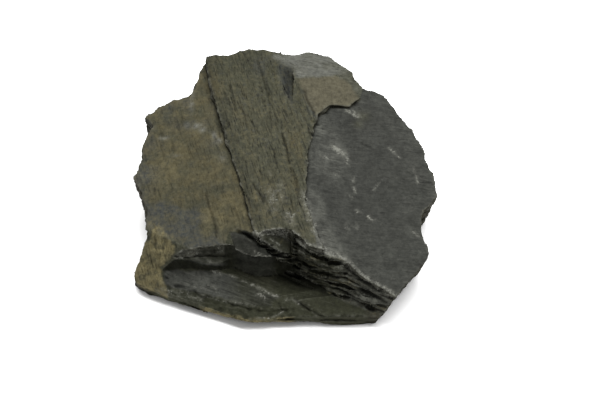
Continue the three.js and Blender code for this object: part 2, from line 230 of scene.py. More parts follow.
def lattice(seed):
    """A shuffled table and a set of unit directions for one kind of noise."""
    chooser = np.random.default_rng(seed)
    table = np.tile(chooser.permutation(256), 2)
    arrows = chooser.normal(size=(256, 3))
    arrows /= np.linalg.norm(arrows, axis=1)[:, None]
    return table, arrows


def noise(points, size, seed):
    """Smooth noise from about -1 to 1 with bumps of the size, at each point."""
    table, arrows = lattice(seed)
    scaled = points / np.asarray(size, float)
    corner = np.floor(scaled)
    part = scaled - corner
    cell = corner.astype(np.int64) & 255
    fade = part * part * part * (part * (part * 6.0 - 15.0) + 10.0)
    total = np.zeros(len(points))
    for step in np.ndindex(2, 2, 2):
        x, y, z = ((cell + step) & 255).T
        arrow = arrows[table[table[table[x] + y] + z]]
        a, b, c = np.abs(np.subtract(1, step) - fade).T
        total += a * b * c * np.einsum("ij,ij->i", arrow, part - step)
    return total * 1.7


def rough(points, size, seed, octaves=3):
    """Noise with finer and fainter noise on it."""
    total = np.zeros(len(points))
    for k in range(octaves):
        total += 0.5 ** k * noise(points, np.asarray(size, float) / 2 ** k, seed + k)
    return total / 1.5


def gap_to(line, x, y):
    """Distance from each point to an open line."""
    least = np.full(len(x), 1e9)
    for a, b in zip(line[:-1], line[1:]):
        d = np.subtract(b, a).astype(float)
        if not d.any():
            continue
        t = np.clip(((x - a[0]) * d[0] + (y - a[1]) * d[1]) / (d @ d), 0, 1)
        least = np.minimum(least, np.hypot(x - a[0] - t * d[0], y - a[1] - t * d[1]))
    return least


def depth_in(outline, x, y):
    """Distance to the edge of a closed outline, above 0 inside it and below 0 outside."""
    closed = [*outline, outline[0]]
    within = np.zeros(len(x), bool)
    for (ax, ay), (bx, by) in zip(closed[:-1], closed[1:]):
        if ay != by:
            within ^= ((ay > y) != (by > y)) & (x < (bx - ax) * (y - ay) / (by - ay) + ax)
    return np.where(within, 1.0, -1.0) * gap_to(closed, x, y)


def spots(x, y, places):
    """Soft oval patches: each is its middle, its reach across, its reach along and its strength."""
    total = np.zeros(len(x))
    for a, b, wide, long, strength in places:
        total = most(total, strength * np.exp(-((x - a) / wide) ** 2 - ((y - b) / long) ** 2))
    return total


def x_on(line, y):
    """The x of a line that runs from the back to the front, at each y."""
    return np.interp(y, *zip(*sorted((b, a) for a, b in line)))


def y_on(line, x):
    """The second value, y or a height, of a line that runs from left to right, at each x."""
    return np.interp(x, *zip(*line))


def bedding_lines(points):
    """Places measured across the rib, along it and up, so that noise can be drawn out along it."""
    x, y, z = points.T
    return np.column_stack([x * RIB_ALONG + y * RIB_ASIDE, y * RIB_ALONG - x * RIB_ASIDE, z])


# ---- The slab's mesh ----

class Stone:
    """The slab's vertices as arrays in millimetres, with moves that act on all of them at once."""

    def __init__(self, mesh):
        self.mesh = mesh
        count = len(mesh.vertices)
        flat = np.empty(count * 3, np.float32)
        mesh.vertices.foreach_get("co", flat)
        self.at = flat.reshape(-1, 3).astype(float) / MM + (*MIDDLE, 0.0)
        edges = np.empty(len(mesh.edges) * 2, np.int32)
        mesh.edges.foreach_get("vertices", edges)
        self.edges = edges.reshape(-1, 2)
        self.links = np.bincount(self.edges.ravel(), minlength=count).astype(float)
        # Where cuts were made; the material paints shade there.
        self.cuts = np.zeros(count)
        self.turn()

    def turn(self):
        """Writes the places to the mesh and works out the normals again."""
        self.mesh.vertices.foreach_set("co", ((self.at - (*MIDDLE, 0.0)) * MM).astype(np.float32).ravel())
        self.mesh.update()
        flat = np.empty(len(self.at) * 3, np.float32)
        self.mesh.vertices.foreach_get("normal", flat)
        self.out = flat.reshape(-1, 3).astype(float)

    def push(self, share, amount):
        """Moves vertices outwards by the share times a number or amount(points), where the share is not 0."""
        near = np.flatnonzero(share > LEAST_SHARE)
        far = amount(self.at[near]) if callable(amount) else amount
        self.at[near] += self.out[near] * (share[near] * far)[:, None]
        self.turn()

    def soften(self, share, times):
        """Evens out the shape where the share is not 0."""
        self.at += share[:, None] * (self.averaged(self.at, times) - self.at)
        self.turn()

    def averaged(self, values, times):
        """Values spread over their neighbours, a number of times."""
        first, second = self.edges.T
        for _ in range(times):
            columns = []
            for k in range(values.shape[1]):
                column = values[:, k]
                near = np.bincount(first, column[second], len(column))
                near = near + np.bincount(second, column[first], len(column))
                columns.append(0.5 * column + 0.5 * near / self.links)
            values = np.stack(columns, axis=1)
        return values

    def sharpness(self, times):
        """How far each vertex stands out of its surroundings: above 0 on a ridge, below 0 in a groove."""
        return np.einsum("ij,ij->i", self.at - self.averaged(self.at, times), self.out)


def regions(stone):
    """How much each vertex of the plain solid belongs to each face of the slab, from 0 to 1."""
    at = stone.at
    x, y, z = at.T
    up = stone.out[:, 2]
    wander = 0.4 * noise(at, 3, 5) + 0.25 * noise(at, 1.2, 6)
    facing_up = ramp(up, 0.6, 0.8)
    base = ramp(1.2 - z, 0, 0.6) * ramp(-up, 0.3, 0.7)
    ledge = ramp(depth_in(LEDGE, x, y), -0.3, 0.3) * ramp(z - 10, 0, 3) * ramp(up, 0.3, 0.6)
    front_of_top = y_on([*BROW[:8], (-17.6, -28.6), (-12.6, -28.4), *SCARP_TOP], x)
    behind = ramp(y - front_of_top + 0.5 * wander, -0.35, 0.35) * (1 - ledge)
    left = ramp(x_on(CRACK, y) - x, -0.15, 0.25)
    above_corner = (z - CORNER_HEIGHT - CORNER_SLOPE * x - y) / CORNER_STEEPNESS
    corner = ramp(above_corner, -0.9, -0.3) * ramp(-20 - x, 0, 2) * ramp(-y, 10, 14) * ramp(up, 0.2, 0.5)
    edge = [*SHELL_EDGE[3:], (10.4, -60), (70, -60), (70, 60), (31, 60), *SHELL_EDGE[:3]]
    shell = ramp(depth_in(edge, x, y) + 0.6 * wander, -0.3, 0.35) * behind * ramp(up, 0.5, 0.7)
    facet = facing_up * ramp(depth_in(FACET, x, y) + 2.2 * wander, -1.1, 1.1) * (1 - shell) * behind
    block = ramp(depth_in(BLOCK, x, y) + 1.6 * wander, -0.5, 0.6) * facing_up * (1 - facet) * (1 - shell)
    notch = facing_up * ramp(depth_in(NOTCH, x, y) + 0.8 * wander, -1.2, 1.6)
    notch = notch * ramp(2.5 - x, 0, 0.3) * (1 - facet)
    bench = facing_up * left * behind * (1 - corner)
    rib = facing_up * (1 - left) * behind * (1 - shell) * (1 - block) * (1 - facet)
    in_front = (1 - behind) * (1 - ledge) * (1 - corner) * (1 - base) * ramp(y_on(SCARP_TOP, x) + 2 - y, 0, 1)
    scarp = in_front * ramp(x, -9.8, -9) * ramp(y - y_on(SCARP_FOOT, x), -0.9, -0.2)
    scarp = scarp * ramp(z - y_on(FOOT_HEIGHTS, x) + 0.5 * wander, -0.6, 0.2)
    bite = scarp * ramp(depth_in(BITE, x, y), -0.2, 0.3) * ramp(up, 0.5, 0.8)
    hollow = in_front * (1 - scarp) * ramp(28 - x, 0, 4)
    apron = hollow * ramp(up, 0.5, 0.7) * ramp(depth_in(APRON, x, y) + 1.2 * wander, -0.4, 0.5)
    trough = hollow * ramp(up, 0.5, 0.8) * ramp(y - y_on(ARRIS, x) + wander, -0.6, 0.4) * ramp(-1 - x, -6, 2)
    trough = trough * (1 - apron)
    floor = hollow * ramp(up, 0.5, 0.7) * (1 - trough)
    wall = hollow * (1 - ramp(up, 0.4, 0.6)) * ramp(z, 5, 6.5)
    lens = hollow * ramp(depth_in([*BROW, *LIP[::-1]], x, y), -0.3, 0.2) * ramp(up, 0.5, 0.7)
    side = 1 - (bench + rib + shell + block + facet + corner + ledge + scarp + hollow + base)
    found = dict(bench=bench, rib=rib, shell=shell, corner=corner, block=block, facet=facet, notch=notch,
                 ledge=ledge, scarp=scarp, bite=bite, trough=trough, floor=floor, apron=apron, wall=wall,
                 lens=lens, side=side, base=base)
    return {name: np.clip(values, 0, 1) for name, values in found.items()}


def bed_height(at):
    """The height of each point above the slanted bed that goes through the origin."""
    return at[:, 2] - BED_RISE_X * at[:, 0] - BED_RISE_Y * at[:, 1]


def layered(at, thickness, reach, seed):
    """A value from about -1 to 1 that is nearly even inside one layer and jumps at the next one."""
    height = bed_height(at) / thickness + 0.35 * noise(at, (22, 22, 8), seed)
    layer = np.floor(height)

    def value(index):
        return noise(np.column_stack([at[:, :2] / reach, index * 7.31 + 0.5]), 1, seed + 1)
    blend = ramp(height - layer, 0, 0.22)
    return value(layer - 1) * (1 - blend) + value(layer) * blend


# ---- The broken faces ----

def crevices(at, spacing, reach, seed):
    """1 in thin gaps between the beds, which open and close along them."""
    height = bed_height(at) / spacing + 0.45 * noise(at, (8, 8, 5), seed)
    layer = np.floor(height)
    along = noise(np.column_stack([at[:, :2] / reach, layer * 5.17 + 0.5]), 1, seed + 1)
    return bell(height - layer - 0.5, 0.17) * ramp(along, -0.25, 0.3)


def break_edges(stone, part, relief):
    """The ragged edges of the beds, on the sides and the scarp."""
    stone.push(part["side"], lambda p: relief * (0.6 * layered(p, 2.4, 7, 11) + 0.35 * layered(p, 0.95, 4, 23))
               + 0.4 * rough(p, 6, 31))
    stone.push(part["side"], lambda p: 0.6 * noise(p, (2.8, 2.8, 14), 32) - 0.5 * crevices(p, 2.1, 9, 33))
    x, y, z = stone.at.T
    below = y_on(LIP_HEIGHTS, x) - z + 0.5 * noise(stone.at, 4, 46)
    scarp = part["scarp"] * (1 - 0.8 * part["bite"]) * (0.3 + 0.7 * ramp(below, 0.1, 1.4))
    # The scarp's relief fades out towards the plane of the end face.
    from_end = z - END_SLOPES[0] * (x - END_FOOT[0]) - END_SLOPES[1] * (y - END_FOOT[1])
    scarp = scarp * ramp(from_end / END_STEEPNESS, 0.5, 5)
    stone.push(scarp, lambda p: relief * (1.5 * layered(p, 1.5, 7, 35) + 0.8 * layered(p, 0.8, 4, 37))
               + 0.4 * rough(p, 2.2, 39) + 0.45)
    stone.push(scarp, lambda p: -1.3 * crevices(p, 1.35, 9, 45))
    under_lip = scarp * bell(below - 2, 0.6) * ramp(x, 1, 5)
    stone.push(under_lip, -1.3)
    stone.cuts = most(stone.cuts, under_lip)


def line_bedding(stone, part, relief):
    """The fine lines and long swells of the rib and the bench, and their thin open furrows."""
    def lines(p):
        q = bedding_lines(p) * (1, 1, 0)
        fine = 0.6 * noise(q, (1.5, 14, 1), 41) + 0.5 * noise(q, (0.9, 5, 1), 43)
        cuts = -np.clip(noise(q, (2.2, 10, 1), 47) - 0.35, 0, 1)
        return relief * (fine + 2.6 * cuts)
    stone.push(part["rib"] + 0.3 * part["bench"], lines)
    stone.push(part["rib"], lambda p: relief * 1.1 * noise(p, (14, 22, 30), 53))
    stone.push(part["bench"], lambda p: relief * (1.3 * noise(p, (10, 14, 30), 59) + 0.8 * rough(p, 2.6, 61)))
    x, y = stone.at.T[:2]
    border = bell(y - BLOCK_BACK, 3.2) * np.clip(part["block"] + part["facet"], 0, 1)
    stone.soften(border, 120)
    beside_notch = bell(x - NOTCH_RIGHT, 3) * ramp(y, 41.5, 44.5)
    stone.soften(beside_notch * ramp(stone.at[:, 2], 16, 19), 120)
    stone.push(part["block"] + part["facet"],
               lambda p: 0.3 * rough(p, 4, 63) + 0.12 * rough(p, (4, 1.2, 4), 68))
    stone.push(part["facet"], lambda p: 0.4 * rough(p, (6, 2.2, 6), 74))
    stone.push(bell(gap_to(CRACK, x, y), 0.9), lambda p: 0.22 * noise(p, (2.5, 2.5, 9), 64) + 0.1)
    tops = ramp(stone.out[:, 2], 0.1, 0.4)
    for line, depth, half in FURROWS:
        x, y = stone.at[:, 0] + 0.5 * half * noise(stone.at, 1.6, 65), stone.at[:, 1]
        cut = tops * bell(gap_to(line, x, y), half)
        stone.push(cut, lambda p: -depth * (0.75 + 0.5 * noise(p, 2, 66)))
        stone.cuts = most(stone.cuts, cut * min(1, 0.5 + depth))


def ripple_shell(stone, part, relief):
    """The faint ripples of the shell break, stronger by its left edge, and the dents in that edge."""
    def ripples(p):
        x, y = p[:, 0] - RIPPLE_MIDDLE[0], p[:, 1] - RIPPLE_MIDDLE[1]
        away = np.hypot(x * 0.5, y) + 2.2 * noise(p, 9, 67)
        return relief * (0.7 * np.sin(away * 2 * math.pi / RIPPLE_STEP) * ramp(17 - p[:, 0], 0, 8)
                         + 2.2 * noise(p, (14, 8, 20), 71) + 0.9 * noise(p, (7, 1.5, 20), 72))
    stone.push(part["shell"], ripples)
    x, y = stone.at.T[:2]
    for dent in ((10.4, 18.2, 1.6, 0.5, 1), (9.9, 15.2, 1.5, 0.45, 1), (9.3, 12.4, 1.7, 0.5, 1),
                 (12.6, 16.6, 1.2, 0.45, 1)):
        stone.push(spots(x, y, [dent]) * ramp(stone.out[:, 2], 0.3, 0.6), -0.55)


def above_band(at):
    """The height of each point above the middle of the grey bed in the wall below the brow."""
    x, height, fall = GREY_BED
    return at[:, 2] - height + fall * (at[:, 0] - x)


def band_on_wall(at):
    """1 on the grey bed that stands out of the wall below the brow."""
    x = at[:, 0]
    return bell(above_band(at), 1) * ramp(x, -35.5, -32.5) * ramp(-17.5 - x, 0, 3)


def shape_front(stone, part):
    """The floor of the front hollow, its chipped rim and its low step, and the corner face."""
    x, y, z = stone.at.T
    crease = (part["floor"] + part["trough"]) * ramp(3 - gap_to(CREASE, x, y), 0, 2)
    stone.soften(crease, 40)
    stone.soften(ramp(3.4 - gap_to(CORNER_FOOT, x, y), 0, 2.4) * ramp(z, 2.5, 4), 90)
    scoop = np.clip(part["wall"] + 0.8 * part["trough"], 0, 1)
    stone.soften(scoop, 90)
    stone.push(scoop * band_on_wall(stone.at), lambda p: 0.7 + 0.2 * noise(p, 3, 84))

    def combing(p):
        x, y, z = p.T
        slanted = np.column_stack([x - 0.3 * y, y + 0.3 * x, z * 0])
        return 0.16 * rough(p, 6, 73) + 0.07 * noise(slanted, (8, 1.1, 1), 79)
    stone.push(part["floor"], combing)
    x, y = stone.at.T[:2]
    rim = gap_to(FRONT_RIM, x, y) + 0.8 * noise(stone.at, 3.5, 81)
    chipped = part["floor"] * ramp(4.6 - rim, 0, 0.5) * ramp(6 - x, 0, 6) * ramp(x, -44, -36)
    stone.push(chipped, lambda p: -0.4 - 0.3 * ramp(noise(p, 2.2, 82), -0.2, 0.4))
    stone.push(part["floor"] * ramp(depth_in(STEP, x, y), -0.15, 0.2), 0.45)
    stone.push(part["corner"], lambda p: 0.5 * rough(p, 5, 83) + 0.2 * rough(p, 1.6, 89))
    stone.push(np.clip(part["ledge"] + scoop + part["lens"], 0, 1), lambda p: 0.14 * rough(p, 3, 91))


def crumble(stone, wear):
    """Rounds and chips every sharp edge, and roughens everything a little."""
    for times, share, size, seed in ((26, 0.8, 2.6, 97), (8, 0.9, 1.1, 101)):
        near_crack = bell(gap_to(CRACK, *stone.at.T[:2]), 2)
        ridge = np.clip(stone.sharpness(times), 0, 1.2) * (stone.at[:, 2] > 0.4) * (1 - 0.7 * near_crack)
        stone.push(ridge, lambda p: -wear * share * ramp(rough(p, size, seed), -0.25, 0.55))
    stone.push((stone.at[:, 2] > 0.05) * 1, lambda p: 0.045 * rough(p, 0.9, 103, 2))


def carve(stone, part, settings):
    """Gives the plain solid its broken, bedded and worn surface."""
    break_edges(stone, part, settings.bed_relief / MM)
    line_bedding(stone, part, settings.rib_relief / MM)
    ripple_shell(stone, part, settings.shell_ripple / MM)
    shape_front(stone, part)
    crumble(stone, settings.edge_wear / MM)
    stone.at[:, 2] = np.maximum(stone.at[:, 2], 0)
    stone.turn()


# ---- Masks for the material ----


def finishes(stone, bench, rib, shell, corner, block, facet, notch, ledge, scarp, bite, trough, floor, apron,
             wall, lens, side, base):
    """How much of each finish, and of the painted shade, lies on each vertex, from 0 to 1, from how much it
    belongs to each region.
    """
    at = stone.at
    x, y, z = at.T
    q = bedding_lines(at) * (1, 1, 0)
    cloudy = 0.5 + 0.5 * rough(at, 7, 111)
    drawn = 0.5 + 0.5 * (0.6 * noise(q, (2.2, 14, 1), 115) + 0.5 * noise(q, (1, 6, 1), 117))
    ragged = 0.5 * rough(at, 1.6, 131)
    patchy = rough(at, 4.5, 119)

    slate = bench * ramp(depth_in(GREY_CORNER, x, y) + 3.2 * patchy + 2.5 * (drawn - 0.5), -3, 2.4)
    slate = slate * (1 - 0.8 * spots(x, y, ((-36, -22, 3, 2.2, 0.8), (-33, -31, 3.4, 1.4, 0.7))))
    faded = spots(x, y, (
        (-32, 18.5, 6, 2.6, 0.8), (-23.5, 11, 2.6, 4.5, 0.7), (-37, 27, 5, 6, 0.9), (-47, -3, 5, 9, 0.9),
        (-45, 12, 3.5, 8, 0.5), (-24, 27, 2.4, 9, 0.3)))
    blue_line = gap_to([(6.2, 32.4), (7.8, 26.4), (9.6, 21)], x + ragged, y)
    slate = most(slate, bench * faded * ramp(cloudy + 0.6 * patchy, 0.2, 0.65), notch,
                 0.9 * bell(blue_line, 1) * rib,
                 0.8 * rib * spots(x, y, ((-8.5, 44, 3.5, 5, 1),)) * ramp(patchy, -0.5, 0.3))

    film = bench * ramp(0.55 * cloudy + 0.45 * drawn + 0.1, 0.25, 0.65)
    warm = spots(x, y, (
        (-9, -14, 3.2, 7, 1), (-14, 16, 4, 13, 0.4), (3.6, 6, 2.6, 9, 1), (3.4, -8, 1.8, 6, 0.6),
        (-0.5, -13, 4, 7, 0.4), (-24, 38, 3, 12, 0.9), (0, 18, 4, 9, 0.4)))
    film = most(film, rib * np.clip(0.3 * ramp(drawn, 0.35, 0.75) + warm * ramp(drawn, 0.25, 0.65), 0, 1))

    crust = ramp(depth_in(TAN_CORNER, x, y) + (1.2 + 4 * side) * ragged, -0.3, 0.5)
    crust = crust * (1 - base) * ramp(z, 2, 3)
    crust = crust * (0.64 + 0.36 * ramp(rough(at, (2.4, 4.5, 4.5), 121) + 0.5 * ragged, -0.45, 0.3))
    stains = spots(x, y, (
        (-40.2, -26.6, 1.8, 2.4, 1), (-36.6, -30.4, 1.6, 1.8, 1), (-42.6, -24.2, 1.4, 3.2, 0.8),
        (-24.8, -24, 1.6, 5, 0.5), (-20, -22, 1.4, 6, 0.5)))
    ochre = spots(x, y, (
        (-15.5, -18, 5, 8, 0.28), (-23, -20, 2.2, 7, 0.28), (-9.6, -15, 2, 4, 0.28), (-40, -1, 5, 5, 0.2)))
    low = ramp(4.3 + 0.5 * noise(at, 3, 123) - z, 0, 0.4) * ramp(2.2 - gap_to(FRONT_RIM, x, y), 0, 0.6)
    tan_rim = low * ramp(x + 2 * ragged, -28, -24) * ramp(4 - x, 0, 3) * (1 - 0.6 * floor)
    crust = most(crust, bench * stains * ramp(ragged + 0.3, -0.3, 0.5),
                 (bench + rib) * ochre * ramp(drawn + 0.4 * patchy, 0.3, 0.7), tan_rim)

    plain_shell = shell * (1 - 0.8 * spots(x, y, ((26, 23.4, 2.2, 1.9, 1), (24.6, 20.2, 1.6, 1.6, 0.9))))
    fresh = np.clip(plain_shell + ledge + apron + lens + wall, 0, 1)
    on_wall = band_on_wall(at) * wall
    # The strip under the brow: painted shade, with fewer pale marks and strokes.
    under_brow = ramp(y_on(BROW[1:], x) - y, 0.1, 0.6) * ramp(x, -40, -38) * ramp(-14 - x, 0, 1.5)
    under_brow = under_brow * ramp(above_band(at), 1.2, 2)
    under_ledge = (wall + trough) * ramp(x, -18, -13) * ramp(-2 - x, 0, 3)
    # The dark olive of the scarp and the hollow: partly the rock's own colour and partly painted shade on the
    # ledge, the top of the rib and under the brow. Under the ledge it is made lighter, which is painted light.
    dark_olive_and_shade = np.clip(trough + wall + 0.85 * scarp + bite + floor * (1 - apron * ramp(-16 - x + 2 * patchy, -4, 4))
                   + 0.3 * ledge + 0.22 * rib * ramp(y + 3 * patchy, 24, 40), 0, 1)
    dark_olive_and_shade = most(dark_olive_and_shade * (1 - 0.9 * on_wall) * (1 - 0.6 * under_ledge), under_brow)

    lip = ramp(2 + 2 * ragged - gap_to(SCARP_TOP[4:], x, y), 0, 1.2) * ramp(shell + rib, 0.2, 0.6)
    bite_lip = ramp(1.3 + 1.4 * ragged - gap_to(SCARP_TOP[:5], x, y), 0, 0.6) * ramp(4 - x, 0, 3)
    brow = 0.8 * ramp(0.6 + 1 * ragged - gap_to(BROW[1:], x, y), 0, 0.5) * ramp(z, 14, 15)
    ledge_lip = ramp(0.7 + 0.8 * ragged - gap_to(LEDGE[6:], x, y), 0, 0.4) * ramp(z, 12.5, 13.5)
    pale = most(0.7 * lip, 0.8 * bite_lip * (1 - 0.75 * scarp), brow * (1 - 0.9 * wall),
                0.85 * (ledge_lip * (1 - 0.9 * wall)))
    sway_x, sway_y = noise(at, 1.3, 133), noise(at, 1.3, 137)
    for line, half, strength in BRUISES:
        away = gap_to(line, x + 0.5 * half * sway_x, y + 0.5 * half * sway_y)
        pale = most(pale, strength * bell(away, half) * (z > 3) * (1 - 0.9 * wall))
    below_lip = scarp * (1 - bite) * ramp(y_on(LIP_HEIGHTS, x) - z + 0.5 * ragged, 0.5, 1.3)
    pale = pale * (1 - 0.85 * most(below_lip, under_brow))

    streak = np.clip(rib + 0.55 * bench + 0.3 * block + 0.8 * corner, 0, 1)
    edges = np.clip(scarp * (1 - 0.7 * bite) + 0.6 * side, 0, 1)
    combed = np.clip(0.45 * floor + apron + 0.8 * np.clip(wall + trough, 0, 1) + 0.9 * facet, 0, 1)
    combed = combed * (1 - 0.7 * under_brow)

    # Painted shade on the wall, stronger the higher it is.
    upper = 0.75 * ramp(z, 10, 13)
    # Painted shadow on the floor, the trough and the wall in front of the scarp's foot, wider towards the left.
    reach = 1.6 + 2.2 * ramp(14 - x, 0, 14)
    foot_shadow = ramp(y - y_on(SCARP_FOOT[3:], x) + reach + 0.5 * ragged, 0, reach)
    foot_shadow = foot_shadow * ramp(x, -5, 0) * ramp(38 - x, 0, 8)
    end_face = bite * ramp(-31 - y, 0, 2) * ramp(-x, 0, 3)
    # Painted shade: on the ledge, the wall, the left of the scarp, the floor under the scarp's foot, under the
    # brow, on a spot of the rib, in the bite and on the right of the apron; the front of the bench is made a
    # little darker too.
    painted_shade = (0.75 * ledge * ramp(x, -18, -12)
            + wall * (upper + (1 - upper) * ramp(-x, 14, 20)) * (1 - 0.7 * on_wall)
            + 0.8 * scarp * (1 - bite) * (1 - ramp(x, 4, 13))
            + 0.95 * foot_shadow * np.clip(floor + trough + wall, 0, 1) + 0.12 * bench * ramp(-y, 8, 16))
    painted_shade = (most(painted_shade, 0.9 * under_brow) + 0.25 * rib * spots(x, y, ((5, 31, 1.6, 5, 1),))
            + bite * (0.7 - 0.7 * end_face + spots(x, y, ((3, -31.5, 2.2, 2, 0.5),)))
            + 0.65 * apron * ramp(x + 2 * patchy, -16, -8))

    band = most(
        shell * ramp(depth_in(LEFT_BAND, x, y) + 1.2 * patchy, -1, 1.2),
        0.8 * lip * ramp(30 - x, 0, 20),
        shell * spots(x, y, ((13, 6, 7, 12, 1), (12, 16, 4, 6, 1))),
        0.26 * shell * (1 - spots(x, y, ((26, -8, 14, 24, 1),))),
        0.85 * facet * (1 - 0.6 * ramp(x + 2 * patchy, 13, 21)),
        apron * (0.35 + 0.65 * ramp(-22 - x + 2 * patchy, -6, 6)),
        on_wall, 0.5 * lens, 0.55 * scarp * ramp(x, 12, 30))
    faint = spots(x, y, (
        (-32.2, 29, 0.7, 5, 0.8), (-33.4, 18.4, 0.9, 1, 0.9), (-29.6, 17.2, 1.6, 1, 1),
        (-28, 15.4, 1.3, 1.1, 1), (-23.8, 12.2, 0.8, 2, 0.8), (-22.3, 9.8, 1.1, 1.1, 1),
        (-20.6, 2.6, 1.2, 2, 0.6), (-41, 13.6, 1.8, 0.8, 0.7), (-36.6, 5, 1.8, 0.6, 0.4)))
    light = most(
        facet * (0.48 + 0.5 * ramp(patchy, -0.5, 0.5)) * ramp(x + 2 * patchy, -4, 4) * ramp(20 - x, -6, 10),
        0.9 * faint * ramp(ragged, -0.5, 0.3), 0.2 * end_face,
        scarp * (0.3 * ramp(x, 12, 24) + 0.25 * ramp(x, 24, 34)))
    for line, half in FACET_CURVES:
        curved = gap_to(line, x, y + 0.8 * ragged)
        light = most(light, bell(curved, half) * ramp(stone.out[:, 2], 0.3, 0.6))
    return dict(film=film, slate=slate, crust=crust, fresh=fresh, dark_olive_and_shade=dark_olive_and_shade, pale=pale, streak=streak,
                band=band, light=light, block=block, side=side, shell=shell, edges=edges, combed=combed,
                painted_shade=painted_shade)


def write_masks(stone, masks):
    """Stores the masks as attributes of the mesh, with painted highlights on what stands out and painted shade
    in what lies back.
    """
    ridge = stone.sharpness(12) * (1 + 0.8 * masks["edges"])
    x, y, z = stone.at.T
    past = x - x_on(CRACK, y)
    # Painted shade along both sides of the crack, wider on its right, and a ragged band of it right of the
    # crack.
    shade = 0.45 * bell(past, np.where(past > 0, 2.8, 0.9))
    ragged_crack_shade = 0.5 * bell(past - 1.6, 1.2) * ramp(rough(stone.at, 1.8, 141), -0.2, 0.5)
    # Painted shade in the notch, darkest by its right wall.
    wedge = ramp(depth_in(NOTCH, x, y), -1.5, 2) * ramp(x, -6, 2) * ramp(2.6 - x, 0, 0.6)
    # hollow here holds the painted shade by the crack and in the notch.
    hollow = most(masks["streak"] * ramp(y + 30, 0, 6) * most(shade, ragged_crack_shade),
                  0.75 * wedge * ramp(stone.out[:, 2], 0.1, 0.4) * ramp(z, 16, 18))
    # ridge paints highlights on the edges; groove paints shade in the grooves, the cuts, by the crack and in
    # the notch.
    masks = {**masks, "ridge": ridge * 2.2, "groove": most(ridge * -3, 0.9 * stone.cuts, hollow)}
    for name, values in masks.items():
        layer = stone.mesh.attributes.new(name, "FLOAT", "POINT")
        layer.data.foreach_set("value", np.clip(values, 0, 1).astype(np.float32))


def placed(name, data):
    """Puts a new object in the scene."""
    thing = bpy.data.objects.new(name, data)
    bpy.context.scene.collection.objects.link(thing)
    return thing


def make_slab(settings, colours):
    """The stone: a finer mesh over the merged copy of the solid, carved, painted with masks and thinned."""
    node = bpy.data.objects[SLAB_NODE]
    shape = bmesh.new()
    shape.from_mesh(node.data)
    bmesh.ops.remove_doubles(shape, verts=shape.verts, dist=1e-6)
    mesh = bpy.data.meshes.new("oil_shale")
    shape.to_mesh(mesh)
    shape.free()
    slab = placed("oil_shale", mesh)
    bpy.context.view_layer.objects.active = slab
    slab.select_set(True)
    mesh.remesh_voxel_size = settings.grain_size
    mesh.remesh_voxel_adaptivity = 0.0
    if bpy.ops.object.voxel_remesh() != {"FINISHED"}:
        raise RuntimeError("the slab's mesh could not be rebuilt")
    stone = Stone(slab.data)
    part = regions(stone)
    masks = finishes(stone, **part)
    carve(stone, part, settings)
    write_masks(stone, masks)
    triangles = 2 * len(slab.data.polygons)
    thin = slab.modifiers.new("Thin", "DECIMATE")
    thin.ratio = min(1.0, settings.most_triangles / triangles)
    bpy.ops.object.modifier_apply(modifier="Thin")
    for face in slab.data.polygons:
        face.use_smooth = True
    slab.data.materials.clear()
    slab.data.materials.append(shale_material(colours))
    slab.select_set(False)
    return slab


# ---- Material ----

class Nodes:
    """Short ways to place and join the nodes of one tree."""

    def __init__(self, tree):
        self.tree = tree

    def new(self, kind, links=None, **values):
        """Places a node: links go to its inputs, and values to its settings."""
        node = self.tree.nodes.new(kind)
        for name, value in values.items():
            setattr(node, name, value)
        for name, source in (links or {}).items():
            self.join(source, node.inputs[name])
        return node

    def join(self, source, socket):
        """Feeds a socket from another node's output, or sets its value."""
        if isinstance(source, bpy.types.NodeSocket):
            self.tree.links.new(source, socket)
        else:
            socket.default_value = source

    def filled(self, tree, **links):
        """Places a node group with its inputs joined or set, and gives its outputs."""
        return self.new("ShaderNodeGroup", links, node_tree=tree).outputs

    def give(self, made, **values):
        """Feeds the outputs of a node group."""
        for name, value in values.items():
            self.join(value, made[name])

    def math(self, operation, a, b):
        return self.new("ShaderNodeMath", {0: a, 1: b}, operation=operation).outputs[0]

    def times(self, *values):
        total = values[0]
        for value in values[1:]:
            total = self.math("MULTIPLY", total, value)
        return total

    def divided(self, vector, size):
        return self.new("ShaderNodeVectorMath", {0: vector, "Scale": self.math("DIVIDE", 1.0, size)},
                        operation="SCALE").outputs[0]

    def mix(self, a, b, factor, blend="MIX"):
        # Of this node's inputs and outputs for colours, 6 and 7 go in and 2 comes out.
        return self.new("ShaderNodeMix", {0: factor, 6: a, 7: b}, data_type="RGBA", blend_type=blend).outputs[2]

    def shaded(self, tone, amount):
        """A colour times a brightness."""
        even = self.new("ShaderNodeCombineColor", {"Red": amount, "Green": amount, "Blue": amount}).outputs[0]
        return self.mix(tone, even, 1.0, "MULTIPLY")

    def span(self, value, low, high, to_low=0.0, to_high=1.0):
        return self.new("ShaderNodeMapRange", {"Value": value, "From Min": low, "From Max": high,
                                               "To Min": to_low, "To Max": to_high},
                        interpolation_type="SMOOTHSTEP").outputs[0]

    def cloud(self, where, scale, detail=3.0, roughness=0.55, distortion=0.0):
        return self.new("ShaderNodeTexNoise", {"Vector": where, "Scale": scale, "Detail": detail,
                                               "Roughness": roughness, "Distortion": distortion}).outputs["Fac"]

    def mask(self, name):
        return self.new("ShaderNodeAttribute", attribute_name=name).outputs["Fac"]


def rgba(colour):
    return (*colour[:3], 1.0)


def new_group(name, inputs, outputs):
    """An empty node group: a place and more inputs, with their values, and outputs of single values."""
    tree = bpy.data.node_groups.new(name, "ShaderNodeTree")
    for title, value in {"Vector": (0, 0, 0), **inputs}.items():
        kind = "NodeSocketVector" if title == "Vector" else "NodeSocketFloat"
        tree.interface.new_socket(title, in_out="INPUT", socket_type=kind).default_value = value
    for title in outputs:
        tree.interface.new_socket(title, in_out="OUTPUT", socket_type="NodeSocketFloat")
    return tree, Nodes(tree), tree.nodes.new("NodeGroupInput").outputs, tree.nodes.new("NodeGroupOutput").inputs


